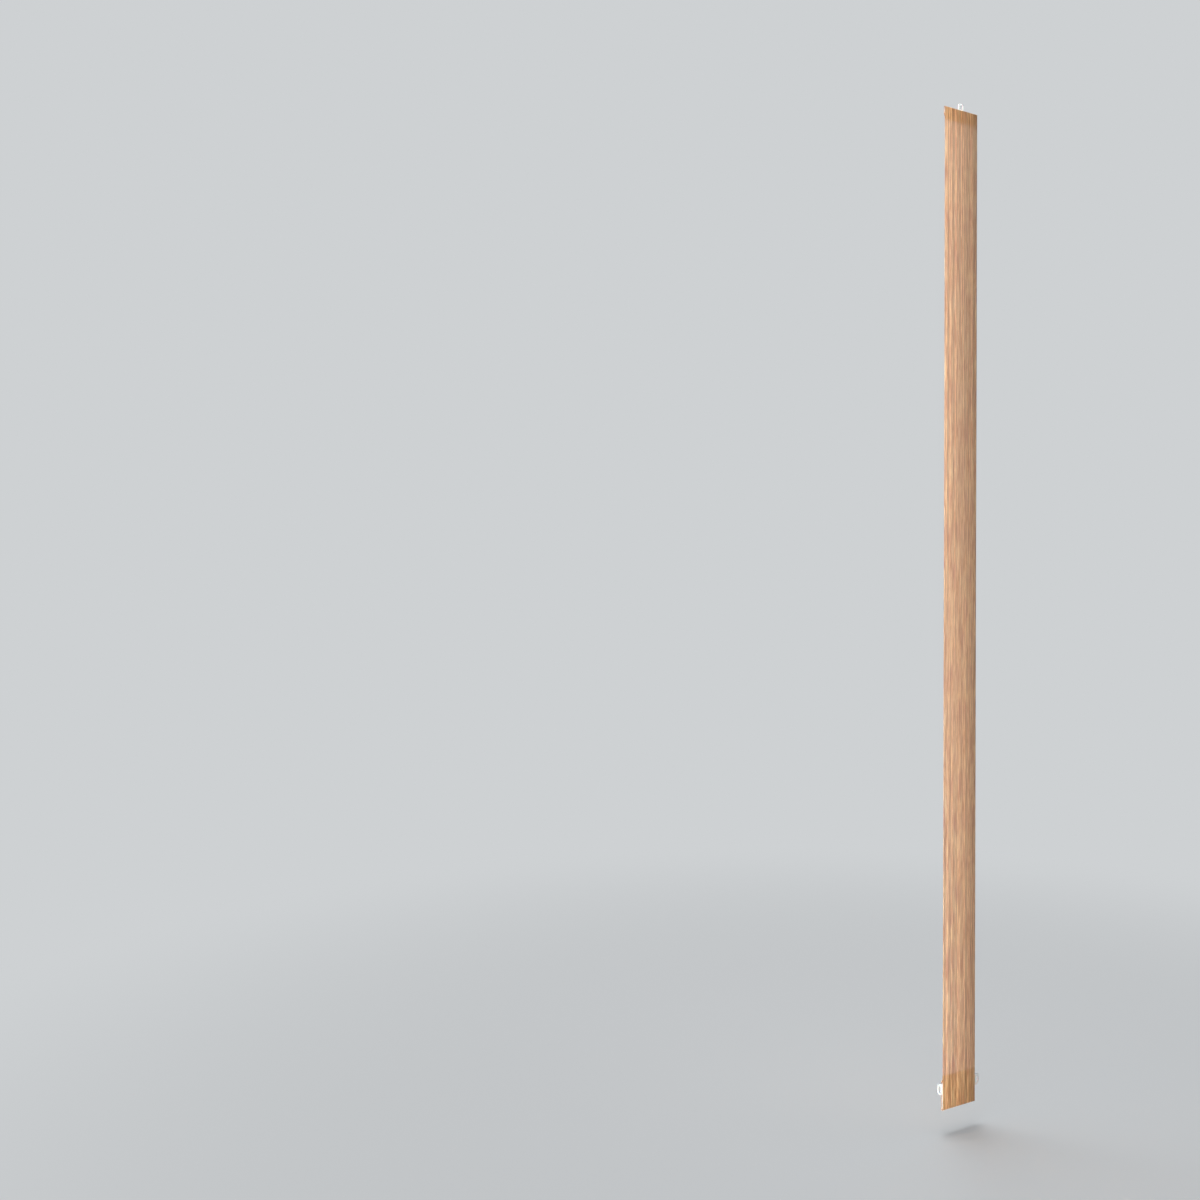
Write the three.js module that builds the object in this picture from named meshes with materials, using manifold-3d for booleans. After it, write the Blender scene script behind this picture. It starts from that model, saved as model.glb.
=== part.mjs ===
// Fabric vane of a vertical blind, modelled as it hangs.
// Millimetres, +Z up, +X across the vane, the face that is seen towards -Y.
// The origin is where the vane hangs: under the top bar of the hanger's eye, at mid width.
import * as THREE from 'three';
import { mergeVertices } from 'three/addons/utils/BufferGeometryUtils.js';
import Module from 'manifold-3d';

// Woven louvre: one strip of cloth, folded to the back and welded at both ends.
const vaneWidth = 89;
const vaneDrop = 1980; // top fold to bottom fold
const clothThickness = 0.45;
const crown = 1.4; // how far the middle of the width stands proud of the two edges
const crownRun = 120; // height over which the crown grows from a pocket's flat cloth
const foldRadius = 0.8; // inside corner of both folds
const weldHeight = 5; // doubled cloth between a pocket and the flap's cut edge
const topRamp = 6; // height over which the back layer closes onto the front, at the hanger
const bottomRamp = 10; // the same at the weight
const weldLap = 1; // how far the single cloth reaches into the doubled cloth
const acrossSteps = 16; // facets across the width
const heightSteps = 36; // facets up the single cloth
const foldFacets = 4; // facets round a corner of a fold

// Moulded hanger in the top pocket, with the eye that stands out of the fold.
const hangerInset = 0.4; // from the cloth's side edge to the plate's end
const hangerHeight = 14;
const hangerThickness = 1.5;
const hangerCorner = 3;
const hangerBevel = 0.25;
const eyeWidth = 15.5;
const eyeRise = 12.5; // above the top fold
const eyeBar = 3.5; // top bar over the hole
const eyeHoleWidth = 7;
const eyeHoleHeight = 7.5;
const eyeHoleCorner = 1;
const eyeCorner = 5;
const neckRoot = 4; // how far the eye's neck runs down into the plate

// Moulded weight in the bottom pocket, with a slotted loop out of each side.
const weightInset = 0.5; // from the cloth's side edge to the plate's end
const weightHeight = 53;
const weightThickness = 3;
const weightCorner = 3;
const weightBevel = 0.5;
const loopReach = 13; // past the cloth's side edge
const loopHeight = 22.5;
const loopThickness = 2;
const loopTopCorner = 3;
const loopBottomCorner = 9.5;
const loopRim = 4; // plastic outside the slot
const loopRoot = 4; // how far a loop runs into the plate
const loopBevel = 0.35;
const slotWidth = 5;
const slotHeight = 12;
const slotCorner = 1;

// Both mouldings
const rootCorner = 1; // corners that are buried in a plate
const edgeFacets = 2; // facets round a softened edge
const cornerFacets = 6; // facets round a plate's corner

// Clearances
const pocketPlay = 0.3; // between a plate and the cloth round it
const neckPlay = 0.5; // each side of the eye's neck in the fold's slit

// Levels and depths that follow from the sizes
const topFold = eyeBar - eyeRise;
const bottomFold = topFold - vaneDrop;
const frontInner = -(hangerThickness / 2 + pocketPlay);
const frontFace = frontInner - clothThickness;
const weldBack = frontInner + clothThickness;
const topPocketBack = frontInner + hangerThickness + 2 * pocketPlay;
const bottomPocketBack = frontInner + weightThickness + 2 * pocketPlay;
const hangerTop = topFold - clothThickness - pocketPlay;
const hangerBase = hangerTop - hangerHeight;
const topSeam = hangerBase - pocketPlay - topRamp;
const weightBase = bottomFold + clothThickness + pocketPlay;
const weightTop = weightBase + weightHeight;
const bottomSeam = weightTop + pocketPlay + bottomRamp;
const weightMiddle = frontInner + pocketPlay + weightThickness / 2;

const sameCorner = 1e-4; // corners nearer than this are one corner

const wasm = await Module();
wasm.setup();

// A closed solid from a geometry: shared corners are merged, and faces that collapse are left out.
function solidOf(geometry) {
  const bare = geometry.clone();
  bare.deleteAttribute('normal');
  bare.deleteAttribute('uv');
  const merged = mergeVertices(bare, sameCorner);
  const corners = merged.index.array;
  const faces = [];
  for (let i = 0; i < corners.length; i += 3) {
    const [a, b, c] = corners.slice(i, i + 3);
    if (a !== b && b !== c && c !== a) faces.push(a, b, c);
  }
  return new wasm.Manifold(new wasm.Mesh({
    numProp: 3,
    vertProperties: new Float32Array(merged.attributes.position.array),
    triVerts: new Uint32Array(faces),
  }));
}

function geometryOf(solid) {
  const mesh = solid.getMesh();
  const geometry = new THREE.BufferGeometry();
  geometry.setAttribute('position', new THREE.BufferAttribute(mesh.vertProperties, 3));
  geometry.setIndex(new THREE.BufferAttribute(mesh.triVerts, 1));
  geometry.computeVertexNormals();
  return geometry;
}

function smoothStep(t) {
  const s = Math.min(Math.max(t, 0), 1);
  return s * s * (3 - 2 * s);
}

// The cloth lies flat over both plates and is crowned between them.
function crownAt(x, z) {
  const below = smoothStep((topSeam - weldHeight - z) / crownRun);
  const above = smoothStep((z - bottomSeam - weldHeight) / crownRun);
  const across = 1 - (2 * x / vaneWidth) ** 2;
  return crown * below * above * across;
}

// The single cloth between the two pockets, crowned towards the face that is seen.
function singleClothGeometry() {
  const low = bottomSeam + weldHeight - weldLap;
  const high = topSeam - weldHeight + weldLap;
  const strip = new THREE.BoxGeometry(vaneWidth, clothThickness, high - low, acrossSteps, 1, heightSteps);
  strip.translate(0, frontFace + clothThickness / 2, (low + high) / 2);
  const points = strip.attributes.position;
  for (let i = 0; i < points.count; i += 1) {
    points.setY(i, points.getY(i) - crownAt(points.getX(i), points.getZ(i)));
  }
  return strip;
}

// Section of one folded end: x is the depth Y, y is the distance from the outside of the fold.
function pocketSection(back, seamDistance, ramp) {
  const outer = foldRadius + clothThickness;
  const end = seamDistance + weldHeight;
  const section = new THREE.Shape();
  section.moveTo(frontFace, end);
  section.lineTo(frontFace, outer);
  section.absarc(frontInner + foldRadius, outer, outer, Math.PI, 1.5 * Math.PI, false);
  section.absarc(back - foldRadius, outer, outer, -Math.PI / 2, 0, false);
  section.lineTo(back + clothThickness, seamDistance - ramp);
  section.lineTo(weldBack, seamDistance);
  section.lineTo(weldBack, end);

  const pocket = new THREE.Path();
  pocket.moveTo(frontInner, seamDistance);
  pocket.lineTo(frontInner, outer);
  pocket.absarc(frontInner + foldRadius, outer, foldRadius, Math.PI, 1.5 * Math.PI, false);
  pocket.absarc(back - foldRadius, outer, foldRadius, -Math.PI / 2, 0, false);
  pocket.lineTo(back, seamDistance - ramp);
  pocket.closePath();
  section.holes.push(pocket);
  return section;
}

// One folded end as a solid: inward is -1 where the cloth runs down from the fold and 1 where it runs up.
function pocketSolid(section, fold, inward) {
  const { shape, holes } = section.extractPoints(foldFacets);
  // Mirroring turns an outline round, so its points are then taken in the opposite order.
  const place = (outline) => {
    const points = outline.map((point) => new THREE.Vector2(point.x, fold + inward * point.y));
    return inward < 0 ? points.reverse() : points;
  };
  const placed = new THREE.Shape(place(shape));
  for (const hole of holes) placed.holes.push(new THREE.Path(place(hole)));
  const strip = new THREE.ExtrudeGeometry(placed, { depth: vaneWidth, steps: 1, bevelEnabled: false });
  const points = strip.attributes.position;
  for (let i = 0; i < points.count; i += 1) {
    points.setXYZ(i, points.getZ(i) - vaneWidth / 2, points.getX(i), points.getY(i));
  }
  return solidOf(strip);
}

function louvreGeometry() {
  const topPocket = pocketSection(topPocketBack, topFold - topSeam, topRamp);
  const bottomPocket = pocketSection(bottomPocketBack, bottomSeam - bottomFold, bottomRamp);
  // The slit in the top fold, for the neck of the hanger's eye.
  const slitHeight = 2 * (topFold - hangerTop);
  const slit = new THREE.BoxGeometry(eyeWidth + 2 * neckPlay, hangerThickness + 2 * pocketPlay, slitHeight);
  slit.translate(0, 0, hangerTop + slitHeight / 2);
  return geometryOf(
    solidOf(singleClothGeometry())
      .add(pocketSolid(topPocket, topFold, -1))
      .add(pocketSolid(bottomPocket, bottomFold, 1))
      .subtract(solidOf(slit)),
  );
}

// Rectangle with rounded corners as a closed path. The corner radii are given in its drawing order:
// bottom left, bottom right, top right, top left.
function roundedRectangle(path, left, bottom, right, top, corners) {
  const [bottomLeft, bottomRight, topRight, topLeft] = corners;
  path.moveTo(left + bottomLeft, bottom);
  path.lineTo(right - bottomRight, bottom);
  path.absarc(right - bottomRight, bottom + bottomRight, bottomRight, -Math.PI / 2, 0, false);
  path.lineTo(right, top - topRight);
  path.absarc(right - topRight, top - topRight, topRight, 0, Math.PI / 2, false);
  path.lineTo(left + topLeft, top);
  path.absarc(left + topLeft, top - topLeft, topLeft, Math.PI / 2, Math.PI, false);
  path.lineTo(left, bottom + bottomLeft);
  path.absarc(left + bottomLeft, bottom + bottomLeft, bottomLeft, Math.PI, 1.5 * Math.PI, false);
  return path;
}

// A plate from a shape drawn in X and Z, with softened edges. Its mid thickness lies at Y = middle.
function plateGeometry(shape, thickness, bevel, middle) {
  const plate = new THREE.ExtrudeGeometry(shape, {
    depth: thickness - 2 * bevel,
    steps: 1,
    bevelEnabled: true,
    bevelThickness: bevel,
    bevelSize: bevel,
    bevelOffset: -bevel,
    bevelSegments: edgeFacets,
    curveSegments: cornerFacets,
  });
  plate.translate(0, 0, -(thickness - 2 * bevel) / 2);
  plate.rotateX(Math.PI / 2);
  plate.translate(0, middle, 0);
  return plate;
}

// The plate and the eye's neck are one moulding of one thickness.
function hangerGeometry() {
  const halfPlate = vaneWidth / 2 - hangerInset;
  const plate = new THREE.Shape();
  roundedRectangle(plate, -halfPlate, hangerBase, halfPlate, hangerTop, Array(4).fill(hangerCorner));
  const eye = new THREE.Shape();
  const eyeFoot = hangerTop - neckRoot;
  const eyeCorners = [rootCorner, rootCorner, eyeCorner, eyeCorner];
  roundedRectangle(eye, -eyeWidth / 2, eyeFoot, eyeWidth / 2, eyeBar, eyeCorners);
  const hole = new THREE.Path();
  const holeCorners = Array(4).fill(eyeHoleCorner);
  roundedRectangle(hole, -eyeHoleWidth / 2, -eyeHoleHeight, eyeHoleWidth / 2, 0, holeCorners);
  eye.holes.push(hole);
  const body = solidOf(plateGeometry(plate, hangerThickness, hangerBevel, 0));
  return geometryOf(body.add(solidOf(plateGeometry(eye, hangerThickness, hangerBevel, 0))));
}

// The slotted loop of one side: side is -1 at the left edge and 1 at the right edge.
function loopGeometry(side) {
  const root = vaneWidth / 2 - weightInset - loopRoot;
  const tip = vaneWidth / 2 + loopReach;
  const slotOuter = tip - loopRim;
  const slotInner = slotOuter - slotWidth;
  const bottom = weightTop - loopHeight;
  const slotBottom = bottom + (loopHeight - slotHeight) / 2;
  const slotTop = slotBottom + slotHeight;
  const slotCorners = Array(4).fill(slotCorner);
  const outline = new THREE.Shape();
  const hole = new THREE.Path();
  if (side > 0) {
    const corners = [rootCorner, loopBottomCorner, loopTopCorner, rootCorner];
    roundedRectangle(outline, root, bottom, tip, weightTop, corners);
    roundedRectangle(hole, slotInner, slotBottom, slotOuter, slotTop, slotCorners);
  } else {
    const corners = [loopBottomCorner, rootCorner, rootCorner, loopTopCorner];
    roundedRectangle(outline, -tip, bottom, -root, weightTop, corners);
    roundedRectangle(hole, -slotOuter, slotBottom, -slotInner, slotTop, slotCorners);
  }
  outline.holes.push(hole);
  return plateGeometry(outline, loopThickness, loopBevel, weightMiddle);
}

function weightGeometry() {
  const half = vaneWidth / 2 - weightInset;
  const plate = new THREE.Shape();
  roundedRectangle(plate, -half, weightBase, half, weightTop, Array(4).fill(weightCorner));
  const body = solidOf(plateGeometry(plate, weightThickness, weightBevel, weightMiddle));
  return geometryOf(body.add(solidOf(loopGeometry(-1))).add(solidOf(loopGeometry(1))));
}

const wovenCloth = new THREE.MeshStandardMaterial({ color: 0xcfa67c, roughness: 0.85, metalness: 0 });
const mouldedWhite = new THREE.MeshStandardMaterial({ color: 0xf0efec, roughness: 0.4, metalness: 0 });
const weightWhite = new THREE.MeshStandardMaterial({ color: 0xf4f2ee, roughness: 0.45, metalness: 0 });

function named(name, geometry, material) {
  const mesh = new THREE.Mesh(geometry, material);
  mesh.name = name;
  return mesh;
}

const vane = new THREE.Group();
vane.add(
  named('fabric_louvre', louvreGeometry(), wovenCloth),
  named('top_hanger', hangerGeometry(), mouldedWhite),
  named('bottom_weight', weightGeometry(), weightWhite),
);

export default vane;
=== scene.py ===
"""Fabric vane of a vertical blind as it hangs: folded woven cloth, moulded hanger and moulded weight.

Metres, +Z up, +X across the vane, the face that is seen towards -Y.
"""

import math

import bmesh
import bpy
from mathutils import Matrix, Vector, noise


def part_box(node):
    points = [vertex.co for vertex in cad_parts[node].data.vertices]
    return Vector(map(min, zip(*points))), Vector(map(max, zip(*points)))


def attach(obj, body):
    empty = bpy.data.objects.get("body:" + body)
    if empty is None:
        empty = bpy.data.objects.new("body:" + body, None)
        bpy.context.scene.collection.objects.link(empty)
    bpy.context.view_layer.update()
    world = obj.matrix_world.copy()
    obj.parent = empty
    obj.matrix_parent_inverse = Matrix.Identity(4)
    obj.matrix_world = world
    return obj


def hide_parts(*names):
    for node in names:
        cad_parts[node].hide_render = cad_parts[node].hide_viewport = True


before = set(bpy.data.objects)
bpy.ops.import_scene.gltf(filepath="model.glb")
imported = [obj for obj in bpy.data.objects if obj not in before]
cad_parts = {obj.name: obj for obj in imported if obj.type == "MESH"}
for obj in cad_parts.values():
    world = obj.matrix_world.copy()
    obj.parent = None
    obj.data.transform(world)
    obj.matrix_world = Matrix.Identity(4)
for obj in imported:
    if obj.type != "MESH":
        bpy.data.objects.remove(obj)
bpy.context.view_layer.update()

MM = 0.001

# Places that the solids give
cloth_low, cloth_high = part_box("fabric_louvre")
hanger_low, hanger_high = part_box("top_hanger")
weight_low, weight_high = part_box("bottom_weight")

# Woven cloth
CLOTH_THICKNESS = 0.45 * MM
CROWN = 0.45 * MM  # the middle of the width stands this far proud of the edges, in one even bow
EDGE_CURL = 0.95 * MM  # the two cut sides curl this much further back
CURL_POWER = 5  # how closely the curl keeps to the sides
POCKET_SHARE = 0.6  # part of both that is left where the cloth lies over a plate
CROWN_RUN = 120 * MM  # height over which they grow from a pocket
FOLD_RUN = 16 * MM  # height over which the crown dies out towards a fold
FOLD_RADIUS = 0.8 * MM  # inside corner of both folds
WELD_HEIGHT = 5 * MM
WELD_GAP = 0.03 * MM  # keeps the two layers of a weld apart
TOP_RAMP = 6 * MM
BOTTOM_RAMP = 10 * MM
POCKET_PLAY = 0.3 * MM
HANGER_HEIGHT = 14 * MM
HANGER_THICKNESS = hanger_high.y - hanger_low.y
WEIGHT_HEIGHT = weight_high.z - weight_low.z
WEIGHT_THICKNESS = weight_high.y - weight_low.y
EYE_WIDTH = 15.5 * MM
NECK_PLAY = 0.5 * MM
SLIT_HALF = EYE_WIDTH / 2 + NECK_PLAY  # half the length of the slit in the top fold

# Levels and depths, worked out as in the solids
VANE_WIDTH = cloth_high.x - cloth_low.x
TOP_FOLD = cloth_high.z
BOTTOM_FOLD = cloth_low.z
FRONT_INNER = -(HANGER_THICKNESS / 2 + POCKET_PLAY)
HANGER_TOP = TOP_FOLD - CLOTH_THICKNESS - POCKET_PLAY
TOP_SEAM = HANGER_TOP - HANGER_HEIGHT - POCKET_PLAY - TOP_RAMP
WEIGHT_TOP = weight_high.z
BOTTOM_SEAM = WEIGHT_TOP + POCKET_PLAY + BOTTOM_RAMP
WEIGHT_MIDDLE = (weight_low.y + weight_high.y) / 2

# How finely the cloth is divided
ROW_STEP = 5.6 * MM  # up the single cloth
POCKET_STEP = 2.8 * MM
WELD_ROWS = 10
RAMP_ROWS = 8
CORNER_ROWS = 5
FOLD_ROWS = 2
SLIT_COLUMNS = 8  # from the middle to an end of the slit in the top fold
SIDE_COLUMNS = 36  # from there to the side edge

# Relief of the cloth
SLUB_WIDTH = 2.1 * MM
SLUB_LENGTH = 60 * MM
SLUB_RELIEF = 0.06 * MM
SLUB_START, SLUB_RISE = 0.12, 0.4  # a slub begins at this level of the noise and is full after this rise
SLUB_SLICE, WAVE_SLICE = 7.3, 2.7  # where the noise is cut
WAVE_LENGTH = 330 * MM
WAVE_DEPTH = 0.35 * MM
BEHIND_DEPTH = 1.5 * MM  # a flap this far behind the front layer no longer follows its crown
PRESS_PITCH = 4 * MM  # pressed marks of the weld, across the cloth
PRESS_DEPTH = 0.12 * MM

# Mouldings
CORNER_STEPS = 10
EDGE_STEPS = 3
SHARP = math.radians(50)


def linear(code):
    """An sRGB hex colour as the linear colour that the shaders take."""
    channels = [int(code[i:i + 2], 16) / 255 for i in (1, 3, 5)]
    knee, slope, offset, power = 0.04045, 12.92, 0.055, 2.4
    return [c / slope if c <= knee else ((c + offset) / (1 + offset)) ** power for c in channels] + [1.0]


def smooth_step(t):
    s = min(max(t, 0.0), 1.0)
    return s * s * (3 - 2 * s)


def add_node(tree, kind, inputs=(), **settings):
    """A node with its settings; each input is a value or the output that feeds it."""
    node = tree.nodes.new(kind)
    for name, value in settings.items():
        setattr(node, name, value)
    for key, value in dict(inputs).items():
        if isinstance(value, bpy.types.NodeSocket):
            tree.links.new(value, node.inputs[key])
        else:
            node.inputs[key].default_value = value
    return node


def calculate(tree, operation, *values):
    """The result of a Math node."""
    return add_node(tree, "ShaderNodeMath", dict(enumerate(values)), operation=operation).outputs[0]


def new_material(name):
    material = bpy.data.materials.new(name)
    material.use_nodes = True
    material.node_tree.nodes.clear()
    return material


def new_object(name, bm, material):
    mesh = bpy.data.meshes.new(name)
    bm.to_mesh(mesh)
    bm.free()
    mesh.materials.append(material)
    for face in mesh.polygons:
        face.use_smooth = True
    piece = bpy.data.objects.new(name, mesh)
    bpy.context.scene.collection.objects.link(piece)
    return piece


# Materials

MIX_FACTOR, MIX_A, MIX_B, MIX_RESULT = 0, 6, 7, 2  # sockets of a colour Mix node

DARK_YARN = "#c6854b"
PALE_YARN = "#f0be86"
PALE_STRAND = "#f8d4a0"
ROSY_STRAND = "#c07a57"
THICK_YARN = "#b57847"
LET_THROUGH = "#f0f0f0"  # colour of the open spaces, for light from behind
LET_THROUGH_SHARE = 0.35
HANGER_WHITE = "#eeedeb"
WEIGHT_WHITE = "#e4e1dc"
MILKY_WHITE = "#f1efea"


def woven_cloth_material():
    """Dim-out polyester woven from slub yarns of several tans: long vertical streaks, dry and matt,
    with a little of the light from behind coming through its open spaces, nearly uncoloured."""
    yarn_pitch = 0.55 * MM
    pick_pitch = 0.6 * MM
    weave_relief = 0.35  # height of the weave's crests, next to that of the thick yarns
    painted_rib_share = 0.6  # strength of the yarns' upright ribs in the painted shade of the weave, next to the weave's crests
    material = new_material("woven_slub_polyester")
    tree = material.node_tree
    flat = add_node(tree, "ShaderNodeTexCoord").outputs["UV"]
    # Every crossing of a yarn and a pick has one tone.
    crossings = add_node(
        tree, "ShaderNodeVectorMath", {0: flat, 1: (yarn_pitch, pick_pitch, 1)}, operation="SNAP",
    ).outputs[0]

    def streaks(width, length, detail, shift):
        """Noise drawn out along the yarns: width and length are a streak's real size."""
        placed = add_node(
            tree, "ShaderNodeMapping",
            {"Vector": crossings, "Scale": (1 / width, 1 / length, 1), "Location": (shift, shift, 0)},
        )
        grain = add_node(
            tree, "ShaderNodeTexNoise",
            {"Vector": placed.outputs[0], "Scale": 1.0, "Detail": detail, "Roughness": 0.55},
        )
        return grain.outputs["Fac"]

    def spread(value, low, high, to_low=0.0, to_high=1.0):
        ranged = add_node(
            tree, "ShaderNodeMapRange",
            {"Value": value, "From Min": low, "From Max": high, "To Min": to_low, "To Max": to_high},
        )
        return ranged.outputs[0]

    def mixed(factor, first, second, blend="MIX"):
        mix = add_node(
            tree, "ShaderNodeMix", {MIX_FACTOR: factor, MIX_A: first, MIX_B: second},
            data_type="RGBA", blend_type=blend,
        )
        return mix.outputs[MIX_RESULT]

    def toned(base, tone):
        """The base colour made darker or paler, the same in red, green and blue."""
        grey = add_node(tree, "ShaderNodeCombineColor", {0: tone, 1: tone, 2: tone}).outputs[0]
        return mixed(1.0, base, grey, "MULTIPLY")

    def wave(value, pitch):
        return calculate(tree, "SINE", calculate(tree, "MULTIPLY", value, 2 * math.pi / pitch))

    # Streaks of four kinds: the middle levels of each noise are spread over the range that is used.
    yarns = spread(streaks(1.1 * MM, 22 * MM, 1.0, 3.1), 0.4, 0.6)
    strands = spread(streaks(1.6 * MM, 62 * MM, 1.0, 11.7), 0.4, 0.6, 0.0, 0.8)
    rosy = spread(streaks(1.6 * MM, 70 * MM, 1.0, 41.3), 0.52, 0.62, 0.0, 0.8)
    shade = spread(streaks(2.4 * MM, 1500 * MM, 0.0, 5.3), 0.38, 0.62, 0.75, 1.15)
    slub = add_node(tree, "ShaderNodeAttribute", attribute_name="slub").outputs["Fac"]

    colour = mixed(yarns, linear(DARK_YARN), linear(PALE_YARN))
    colour = mixed(strands, colour, linear(PALE_STRAND))
    colour = mixed(rosy, colour, linear(ROSY_STRAND))
    colour = mixed(spread(slub, 0.0, 1.0, 0.0, 0.7), colour, linear(THICK_YARN))
    colour = toned(colour, shade)

    # Yarns and picks stand up from the cloth by a few hundredths of a millimetre.
    place = add_node(tree, "ShaderNodeSeparateXYZ", {0: flat}).outputs
    warp = wave(place["X"], yarn_pitch)
    weft = wave(place["Y"], pick_pitch)
    weave = calculate(tree, "MULTIPLY", warp, weft)
    height = calculate(tree, "MULTIPLY_ADD", weave, weave_relief, yarns)
    bump = add_node(
        tree, "ShaderNodeBump", {"Strength": 0.55, "Distance": 0.12 * MM, "Height": height},
    ).outputs["Normal"]
    # Painted shade and light: the weave's hollows are darkened and its crests made paler, as light falling
    # across the weave would show them.
    painted_weave_shade = calculate(tree, "MULTIPLY_ADD", warp, painted_rib_share, weave)
    colour = toned(colour, spread(painted_weave_shade, -1 - painted_rib_share, 1 + painted_rib_share, 0.74, 1.14))

    cloth = add_node(
        tree, "ShaderNodeBsdfPrincipled",
        {
            "Base Color": colour, "Normal": bump, "Roughness": spread(yarns, 0, 1, 0.92, 0.78),
            "IOR": 1.54, "Specular IOR Level": 0.2, "Sheen Weight": 0.08, "Sheen Roughness": 0.5,
        },
    )
    through = add_node(
        tree, "ShaderNodeBsdfTranslucent",
        {"Color": mixed(0.75, colour, linear(LET_THROUGH)), "Normal": bump},
    )
    surface = add_node(
        tree, "ShaderNodeMixShader",
        {0: LET_THROUGH_SHARE, 1: cloth.outputs[0], 2: through.outputs[0]},
    )
    add_node(tree, "ShaderNodeOutputMaterial", {"Surface": surface.outputs[0]})
    return material


def moulded_plastic_material(name, colour, roughness):
    """Injection-moulded polypropylene: milky white with a soft satin gloss and a faintly uneven skin."""
    grain_size = 0.35 * MM
    flow_size = 9 * MM
    material = new_material(name)
    tree = material.node_tree
    place = add_node(tree, "ShaderNodeTexCoord").outputs["Object"]
    grain = add_node(
        tree, "ShaderNodeTexNoise", {"Vector": place, "Scale": 1 / grain_size, "Detail": 3.0},
    ).outputs["Fac"]
    flow = add_node(
        tree, "ShaderNodeTexNoise", {"Vector": place, "Scale": 1 / flow_size, "Detail": 2.0},
    ).outputs["Fac"]
    tint = add_node(
        tree, "ShaderNodeMix", {MIX_FACTOR: flow, MIX_A: linear(colour), MIX_B: linear(MILKY_WHITE)},
        data_type="RGBA",
    ).outputs[MIX_RESULT]
    satin = add_node(
        tree, "ShaderNodeMapRange",
        {
            "Value": flow, "From Min": 0.3, "From Max": 0.7,
            "To Min": roughness - 0.05, "To Max": roughness + 0.07,
        },
    ).outputs[0]
    bump = add_node(
        tree, "ShaderNodeBump", {"Strength": 0.25, "Distance": 0.02 * MM, "Height": grain},
    ).outputs["Normal"]
    plastic = add_node(
        tree, "ShaderNodeBsdfPrincipled",
        {
            "Base Color": tint, "Roughness": satin, "Normal": bump, "IOR": 1.49,
            "Subsurface Weight": 0.15, "Subsurface Scale": 1.2 * MM,
        },
    )
    add_node(tree, "ShaderNodeOutputMaterial", {"Surface": plastic.outputs[0]})
    return material


# Cloth

def stretch(start, end, count):
    """Points from start to end, without the start itself."""
    return [start.lerp(end, (i + 1) / count) for i in range(count)]


def quarter(centre, radius, start_degrees, sweep):
    """A quarter round, without its first point."""
    points = []
    for i in range(CORNER_ROWS):
        turn = math.radians(start_degrees + sweep * (i + 1) / CORNER_ROWS)
        points.append(centre + radius * Vector((math.cos(turn), math.sin(turn))))
    return points


def ramp(start, end):
    """The back layer leaves one depth and comes to another in a soft S."""
    points = []
    for i in range(RAMP_ROWS):
        t = (i + 1) / RAMP_ROWS
        depth = start.x + (end.x - start.x) * smooth_step(t)
        points.append(Vector((depth, start.y + (end.y - start.y) * t)))
    return points


def rows_for(length, step):
    return max(1, round(abs(length) / step))


def pocket_path(back_inner, fold, seam, ramp_height, towards_fold):
    """Middle line of a folded end, as (depth, level), from the flap's cut edge to the front layer at the
    level of the flap's cut edge. towards_fold is 1 where the fold is above and -1 where it is below."""
    half = CLOTH_THICKNESS / 2
    radius = FOLD_RADIUS + half
    front = FRONT_INNER - half
    weld = FRONT_INNER + half + WELD_GAP
    back = back_inner + half
    cut = seam - towards_fold * WELD_HEIGHT
    turn_level = fold - towards_fold * (half + radius)
    path = [Vector((weld, cut))]
    path += stretch(path[-1], Vector((weld, seam)), WELD_ROWS)
    path += ramp(path[-1], Vector((back, seam + towards_fold * ramp_height)))
    path += stretch(path[-1], Vector((back, turn_level)), rows_for(turn_level - path[-1].y, POCKET_STEP))
    path += quarter(Vector((back - radius, turn_level)), radius, 0, towards_fold * 90)
    path += stretch(path[-1], Vector((front + radius, path[-1].y)), FOLD_ROWS)
    path += quarter(Vector((front + radius, turn_level)), radius, towards_fold * 90, towards_fold * 90)
    path += stretch(path[-1], Vector((front, seam)), rows_for(seam - turn_level, POCKET_STEP))
    path += stretch(path[-1], Vector((front, cut)), WELD_ROWS)
    return path


def cloth_path():
    """Middle line of the whole strip, from the top flap's cut edge over the top fold, down the front,
    round the bottom fold and up to the bottom flap's cut edge."""
    top_back = FRONT_INNER + HANGER_THICKNESS + 2 * POCKET_PLAY
    bottom_back = FRONT_INNER + WEIGHT_THICKNESS + 2 * POCKET_PLAY
    top = pocket_path(top_back, TOP_FOLD, TOP_SEAM, TOP_RAMP, 1)
    bottom = pocket_path(bottom_back, BOTTOM_FOLD, BOTTOM_SEAM, BOTTOM_RAMP, -1)
    bottom.reverse()
    middle = stretch(top[-1], bottom[0], rows_for(top[-1].y - bottom[0].y, ROW_STEP))
    return top + middle + bottom[1:]


def column_places():
    """Places across the width, with a column at each end of the slit in the top fold."""
    side = [SLIT_HALF * i / SLIT_COLUMNS for i in range(SLIT_COLUMNS)]
    rest = VANE_WIDTH / 2 - SLIT_HALF
    side += [SLIT_HALF + rest * i / SIDE_COLUMNS for i in range(SIDE_COLUMNS + 1)]
    return [-x for x in reversed(side[1:])] + side


def slub_at(u, v):
    """0 on plain yarn, up to 1 along a thick place in the yarn."""
    level = noise.noise(Vector((u / SLUB_WIDTH, v / SLUB_LENGTH, SLUB_SLICE)))
    return smooth_step((level - SLUB_START) / SLUB_RISE)


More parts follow.
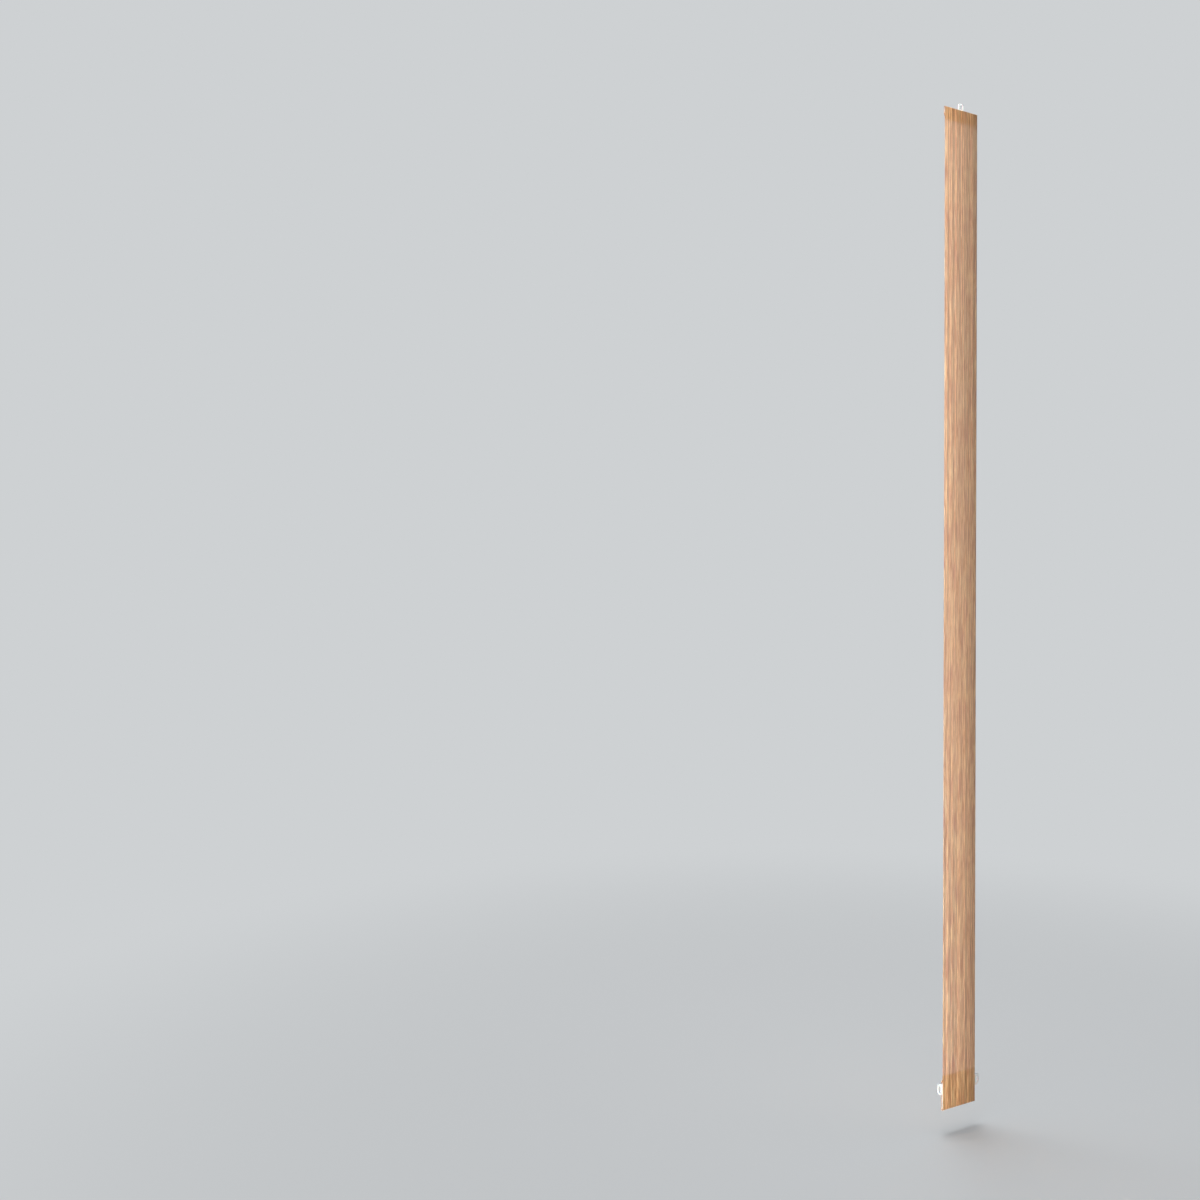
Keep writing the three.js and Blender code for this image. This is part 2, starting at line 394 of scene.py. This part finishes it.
def crown_at(x, depth, z):
    """How far the cloth stands out at this place: the front layer and the welds, but not the folds
    or the back of a pocket."""
    below = smooth_step((TOP_SEAM - WELD_HEIGHT - z) / CROWN_RUN)
    above = smooth_step((z - BOTTOM_SEAM - WELD_HEIGHT) / CROWN_RUN)
    single = below * above
    side = abs(2 * x / VANE_WIDTH)
    bow = CROWN * (1 - side ** 2) + EDGE_CURL * (1 - side ** CURL_POWER)
    bow *= POCKET_SHARE + (1 - POCKET_SHARE) * single
    wave = single * WAVE_DEPTH * noise.noise(Vector((x / VANE_WIDTH, z / WAVE_LENGTH, WAVE_SLICE)))
    from_fold = min(TOP_FOLD - z, z - BOTTOM_FOLD) / FOLD_RUN
    behind = (depth - FRONT_INNER - CLOTH_THICKNESS) / BEHIND_DEPTH
    return (bow + wave) * smooth_step(from_fold) * (1 - smooth_step(behind))


def pressed(x, along):
    """Depth of the weld's pressed marks: short dashes, densest in the middle of the weld's height."""
    dash = math.cos(2 * math.pi * x / PRESS_PITCH)
    rows = math.sin(math.pi * along) * abs(math.sin(2 * math.pi * along))
    return PRESS_DEPTH * max(0.0, dash) * rows


def build_cloth(material):
    path = cloth_path()
    columns = column_places()
    lengths = [0.0]
    for near, far in zip(path, path[1:]):
        lengths.append(lengths[-1] + (far - near).length)
    total = lengths[-1]

    bm = bmesh.new()
    # The flat cut: its columns run across the width and its rows along the strip.
    bmesh.ops.create_grid(bm, x_segments=len(columns) - 1, y_segments=len(path) - 1, size=0.5)
    slub_layer = bm.verts.layers.float.new("slub")
    uv_layer = bm.loops.layers.uv.new("flat_cut")
    cell = {}
    for vert in bm.verts:
        column = round((vert.co.x + 0.5) * (len(columns) - 1))
        row = round((0.5 - vert.co.y) * (len(path) - 1))
        cell[vert] = (column, row)
    for vert, (column, row) in cell.items():
        x, v = columns[column], lengths[row]
        depth, level = path[row]
        before, after = path[max(row - 1, 0)], path[min(row + 1, len(path) - 1)]
        run = (after - before).normalized()
        outward = Vector((run.y, -run.x))
        slub = slub_at(x, v)
        vert[slub_layer] = slub
        lift = SLUB_RELIEF * (slub - 0.5)
        if row < WELD_ROWS:
            lift -= pressed(x, row / WELD_ROWS)
        if row > len(path) - 1 - WELD_ROWS:
            lift -= pressed(x, (len(path) - 1 - row) / WELD_ROWS)
        out = crown_at(x, depth, level)
        vert.co = Vector((x, depth - out - outward.x * lift, level - outward.y * lift))
    for face in bm.faces:
        for loop in face.loops:
            column, row = cell[loop.vert]
            loop[uv_layer].uv = (columns[column] + VANE_WIDTH / 2, total - lengths[row])
    slit = [
        face for face in bm.faces
        if abs(face.calc_center_median().x) < SLIT_HALF
        and abs(face.calc_center_median().y) < -FRONT_INNER
        and face.calc_center_median().z > TOP_FOLD - FOLD_RADIUS - CLOTH_THICKNESS
    ]
    bmesh.ops.delete(bm, geom=slit, context="FACES")
    bmesh.ops.recalc_face_normals(bm, faces=bm.faces)
    cloth = new_object("woven_louvre_cloth", bm, material)
    thickness = cloth.modifiers.new("thickness", "SOLIDIFY")
    thickness.thickness = CLOTH_THICKNESS
    thickness.offset = 0
    thickness.use_even_offset = True
    return cloth, total


# Mouldings

def rounded_face(bm, left, bottom, right, top, radii):
    """One upright face with rounded corners; radii go bottom left, bottom right, top right, top left."""
    made = bmesh.ops.create_grid(bm, x_segments=1, y_segments=1, size=0.5)["verts"]
    bmesh.ops.scale(bm, verts=made, vec=(right - left, top - bottom, 1))
    bmesh.ops.rotate(bm, verts=made, matrix=Matrix.Rotation(math.pi / 2, 3, "X"))
    bmesh.ops.translate(bm, verts=made, vec=((left + right) / 2, 0, (bottom + top) / 2))
    face = made[0].link_faces[0]
    corners = {(v.co.x > (left + right) / 2, v.co.z > (bottom + top) / 2): v for v in made}
    order = [(False, False), (True, False), (True, True), (False, True)]
    before = set(bm.verts) - set(made)
    for place, radius in zip(order, radii):
        bmesh.ops.bevel(
            bm, geom=[corners[place]], affect="VERTICES", offset=radius, segments=CORNER_STEPS,
            profile=0.5, material=-1, clamp_overlap=False,
        )
    outline = [v for v in bm.verts if v not in before]
    return outline[0].link_faces[0]


def thicken(bm, faces, thickness, middle, softness):
    """Draws faces out to both sides of their plane, and softens every sharp edge."""
    verts = {v for face in faces for v in face.verts}
    bmesh.ops.translate(bm, verts=list(verts), vec=(0, middle - thickness / 2, 0))
    grown = bmesh.ops.extrude_face_region(bm, geom=faces, use_keep_orig=True)["geom"]
    far = [item for item in grown if isinstance(item, bmesh.types.BMVert)]
    bmesh.ops.translate(bm, verts=far, vec=(0, thickness, 0))
    shell = set(far) | verts
    faces = [face for face in bm.faces if all(v in shell for v in face.verts)]
    bmesh.ops.recalc_face_normals(bm, faces=faces)
    sharp = [e for e in bm.edges if e.verts[0] in shell and e.calc_face_angle(0) > SHARP]
    bmesh.ops.bevel(
        bm, geom=sharp, affect="EDGES", offset=softness, segments=EDGE_STEPS, profile=0.5,
        material=-1, clamp_overlap=True,
    )


def slotted_face(bm, outer, outer_radii, hole, hole_radii):
    """An upright face with rounded corners and a rounded opening, as a ring of faces."""
    rims = []
    for box, radii in ((outer, outer_radii), (hole, hole_radii)):
        face = rounded_face(bm, *box, radii)
        rims += list(face.edges)
        bmesh.ops.delete(bm, geom=[face], context="FACES_ONLY")
    return bmesh.ops.bridge_loops(bm, edges=rims)["faces"]


EYE_BAR = hanger_high.z  # the vane hangs at Z = 0, so the bar over the eye's hole is this high
EYE_HOLE_WIDTH = 7 * MM
EYE_HOLE_HEIGHT = 7.5 * MM
EYE_HOLE_CORNER = 1 * MM
EYE_CORNER = 5 * MM
NECK_ROOT = 4 * MM
ROOT_CORNER = 1 * MM
HANGER_CORNER = 3 * MM
HANGER_SOFTNESS = 0.3 * MM


def build_hanger(material):
    bm = bmesh.new()
    plate = rounded_face(
        bm, hanger_low.x, hanger_low.z, hanger_high.x, HANGER_TOP, [HANGER_CORNER] * 4,
    )
    thicken(bm, [plate], HANGER_THICKNESS, 0, HANGER_SOFTNESS)
    eye = slotted_face(
        bm,
        (-EYE_WIDTH / 2, HANGER_TOP - NECK_ROOT, EYE_WIDTH / 2, EYE_BAR),
        [ROOT_CORNER, ROOT_CORNER, EYE_CORNER, EYE_CORNER],
        (-EYE_HOLE_WIDTH / 2, -EYE_HOLE_HEIGHT, EYE_HOLE_WIDTH / 2, 0),
        [EYE_HOLE_CORNER] * 4,
    )
    thicken(bm, eye, HANGER_THICKNESS, 0, HANGER_SOFTNESS)
    return new_object("hook_eye_hanger", bm, material)


WEIGHT_INSET = 0.5 * MM
WEIGHT_CORNER = 3 * MM
WEIGHT_SOFTNESS = 0.5 * MM
LOOP_HEIGHT = 22.5 * MM
LOOP_THICKNESS = 2 * MM
LOOP_TOP_CORNER = 3 * MM
LOOP_BOTTOM_CORNER = 9.5 * MM
LOOP_RIM = 4 * MM
LOOP_ROOT = 4 * MM
LOOP_SOFTNESS = 0.4 * MM
SLOT_WIDTH = 5 * MM
SLOT_HEIGHT = 12 * MM
SLOT_CORNER = 1 * MM


def build_weight(material):
    half = VANE_WIDTH / 2 - WEIGHT_INSET
    bm = bmesh.new()
    plate = rounded_face(bm, -half, weight_low.z, half, WEIGHT_TOP, [WEIGHT_CORNER] * 4)
    thicken(bm, [plate], WEIGHT_THICKNESS, WEIGHT_MIDDLE, WEIGHT_SOFTNESS)
    tip = weight_high.x
    slot_outer = tip - LOOP_RIM
    slot_bottom = WEIGHT_TOP - (LOOP_HEIGHT + SLOT_HEIGHT) / 2
    for side in (-1, 1):
        reach = sorted((side * tip, side * (half - LOOP_ROOT)))
        slot = sorted((side * slot_outer, side * (slot_outer - SLOT_WIDTH)))
        radii = [LOOP_BOTTOM_CORNER, ROOT_CORNER, ROOT_CORNER, LOOP_TOP_CORNER]
        if side > 0:
            radii = [ROOT_CORNER, LOOP_BOTTOM_CORNER, LOOP_TOP_CORNER, ROOT_CORNER]
        loop = slotted_face(
            bm,
            (reach[0], WEIGHT_TOP - LOOP_HEIGHT, reach[1], WEIGHT_TOP),
            radii,
            (slot[0], slot_bottom, slot[1], slot_bottom + SLOT_HEIGHT),
            [SLOT_CORNER] * 4,
        )
        thicken(bm, loop, LOOP_THICKNESS, WEIGHT_MIDDLE, LOOP_SOFTNESS)
    return new_object("chain_loop_weight", bm, material)


# Camera: the photograph's own viewing angle, worked out from its vanishing points

PHOTO_SIDE = 1200  # pixels
FOCAL_PIXELS = 1158
SENSOR = 36.0
VIEW_TURN = math.radians(60.35)  # from the vane's width to the optical axis
VIEW_PITCH = math.radians(-0.445)
NEAR_EDGE_DEPTH = 2.2805  # along the optical axis
NEAR_EDGE_RIGHT = 0.6774  # to the right of the optical axis
EYE_LEVEL = 1.0272  # above the bottom fold


def build_camera():
    data = bpy.data.cameras.new("camera")
    data.sensor_width = SENSOR
    data.lens = SENSOR * FOCAL_PIXELS / PHOTO_SIDE
    data.clip_start, data.clip_end = 0.05, 100
    camera = bpy.data.objects.new("camera", data)
    bpy.context.scene.collection.objects.link(camera)
    forward = Vector((math.cos(VIEW_TURN), math.sin(VIEW_TURN), 0))
    right = Vector((forward.y, -forward.x, 0))
    near_edge = Vector((cloth_low.x, FRONT_INNER - CLOTH_THICKNESS, 0))
    place = near_edge - NEAR_EDGE_DEPTH * forward - NEAR_EDGE_RIGHT * right
    camera.location = (place.x, place.y, BOTTOM_FOLD + EYE_LEVEL)
    camera.rotation_euler = (math.pi / 2 + VIEW_PITCH, 0, VIEW_TURN - math.pi / 2)
    bpy.context.scene.camera = camera


# Stage and light

PALE = "#ced1d3"  # floor and backdrop
AMBIENT = "#f2f4f8"
AMBIENT_LEVEL = 0.1
FLOOR_GAP = 0.045  # the vane hangs this far above the floor
FLOOR_RADIUS = 14.0
FLOOR_SIDES = 96
FLOOR_FADE = (0.4, 2.6)  # distances between which the floor passes into the plain backdrop
FLOOR_PLAIN = 0.25  # share of the backdrop in the floor right under the vane
FLOOR_GAIN = 1.7  # brings the lit floor, as the camera sees it, to the backdrop's level
VANE_MIDDLE = (TOP_FOLD + BOTTOM_FOLD) / 2


def build_floor():
    material = new_material("pale_floor")
    tree = material.node_tree
    place = add_node(tree, "ShaderNodeTexCoord").outputs["Object"]
    reach = add_node(tree, "ShaderNodeVectorMath", {0: place}, operation="LENGTH").outputs["Value"]
    fade = add_node(
        tree, "ShaderNodeMapRange",
        {
            "Value": reach, "From Min": FLOOR_FADE[0], "From Max": FLOOR_FADE[1],
            "To Min": FLOOR_PLAIN, "To Max": 1.0,
        },
        interpolation_type="SMOOTHSTEP",
    ).outputs[0]
    rays = add_node(tree, "ShaderNodeLightPath").outputs
    seen = calculate(tree, "MULTIPLY", fade, rays["Is Camera Ray"])
    level = add_node(
        tree, "ShaderNodeMapRange", {"Value": rays["Is Camera Ray"], "To Min": 1.0, "To Max": FLOOR_GAIN},
    ).outputs[0]
    shade = add_node(
        tree, "ShaderNodeVectorMath", {0: linear(PALE)[:3], "Scale": level}, operation="SCALE",
    ).outputs[0]
    matt = add_node(tree, "ShaderNodeBsdfDiffuse", {"Color": shade})
    plain = add_node(tree, "ShaderNodeEmission", {"Color": linear(PALE), "Strength": 1.0})
    surface = add_node(
        tree, "ShaderNodeMixShader", {0: seen, 1: matt.outputs[0], 2: plain.outputs[0]},
    )
    add_node(tree, "ShaderNodeOutputMaterial", {"Surface": surface.outputs[0]})
    bm = bmesh.new()
    bmesh.ops.create_circle(bm, cap_ends=True, radius=FLOOR_RADIUS, segments=FLOOR_SIDES)
    floor = new_object("floor", bm, material)
    floor.location = (0, 0, BOTTOM_FOLD - FLOOR_GAP)
    floor.visible_shadow = False
    return floor


def build_world():
    world = bpy.data.worlds.new("pale_backdrop")
    world.use_nodes = True
    tree = world.node_tree
    tree.nodes.clear()
    rays = add_node(tree, "ShaderNodeLightPath").outputs
    seen = calculate(tree, "MAXIMUM", rays["Is Camera Ray"], rays["Is Glossy Ray"])
    seen = calculate(tree, "MAXIMUM", seen, rays["Is Transmission Ray"])
    soft = add_node(
        tree, "ShaderNodeBackground", {"Color": linear(AMBIENT), "Strength": AMBIENT_LEVEL},
    )
    plain = add_node(tree, "ShaderNodeBackground", {"Color": linear(PALE), "Strength": 1.0})
    both = add_node(
        tree, "ShaderNodeMixShader", {0: seen, 1: soft.outputs[0], 2: plain.outputs[0]},
    )
    add_node(tree, "ShaderNodeOutputWorld", {"Surface": both.outputs[0]})
    bpy.context.scene.world = world


def add_softbox(name, turn_degrees, distance, width, height, level, colour, rise=0.0, spread=180, aim=0.0,
                spares=None):
    """A softbox: turn is from straight in front of the vane's face towards its left side edge, level is
    near the light that it gives a white card held towards it at the vane, aim is how far to the
    right of the vane's middle it points, and spares is a piece that it leaves unlit."""
    data = bpy.data.lights.new(name, "AREA")
    data.shape = "RECTANGLE"
    data.size, data.size_y = width, height
    data.color = linear(colour)[:3]
    data.spread = math.radians(spread)
    data.energy = level * math.pi ** 2 * distance ** 2
    light = bpy.data.objects.new(name, data)
    bpy.context.scene.collection.objects.link(light)
    turn = math.radians(turn_degrees)
    middle = Vector((0, 0, VANE_MIDDLE))
    target = middle + Vector((aim, 0, 0))
    light.location = middle + distance * Vector((-math.sin(turn), -math.cos(turn), rise)).normalized()
    light.rotation_euler = (target - light.location).to_track_quat("-Z", "Y").to_euler()
    light.visible_camera = False
    if spares:
        unlit = bpy.data.collections.new(name + "_spares")
        unlit.objects.link(spares)
        unlit.collection_objects[0].light_linking.link_state = "EXCLUDE"
        light.light_linking.receiver_collection = unlit


def build_lights(floor):
    add_softbox("key_softbox", 43.4, 0.79, 0.1, 3.2, 0.285, "#ffffff", spread=14.3, aim=-0.04, spares=floor)
    add_softbox("back_softbox", 215, 0.7, 0.12, 3.2, 1.1, "#bcd6ff", spread=24, aim=-0.14, spares=floor)
    add_softbox("top_softbox", 180, 3.2, 1.6, 1.6, 0.75, "#ffffff", rise=8.0)


cloth_material = woven_cloth_material()
hanger_material = moulded_plastic_material("moulded_polypropylene_hanger", HANGER_WHITE, 0.36)
weight_material = moulded_plastic_material("moulded_polypropylene_weight", WEIGHT_WHITE, 0.42)

build_camera()

cloth, cut_length = build_cloth(cloth_material)
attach(cloth, "root")
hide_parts("fabric_louvre")

hanger = build_hanger(hanger_material)
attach(hanger, "root")
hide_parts("top_hanger")

weight = build_weight(weight_material)
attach(weight, "root")
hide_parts("bottom_weight")

floor = build_floor()
build_world()
build_lights(floor)

scene = bpy.context.scene
scene.view_settings.view_transform = "Standard"
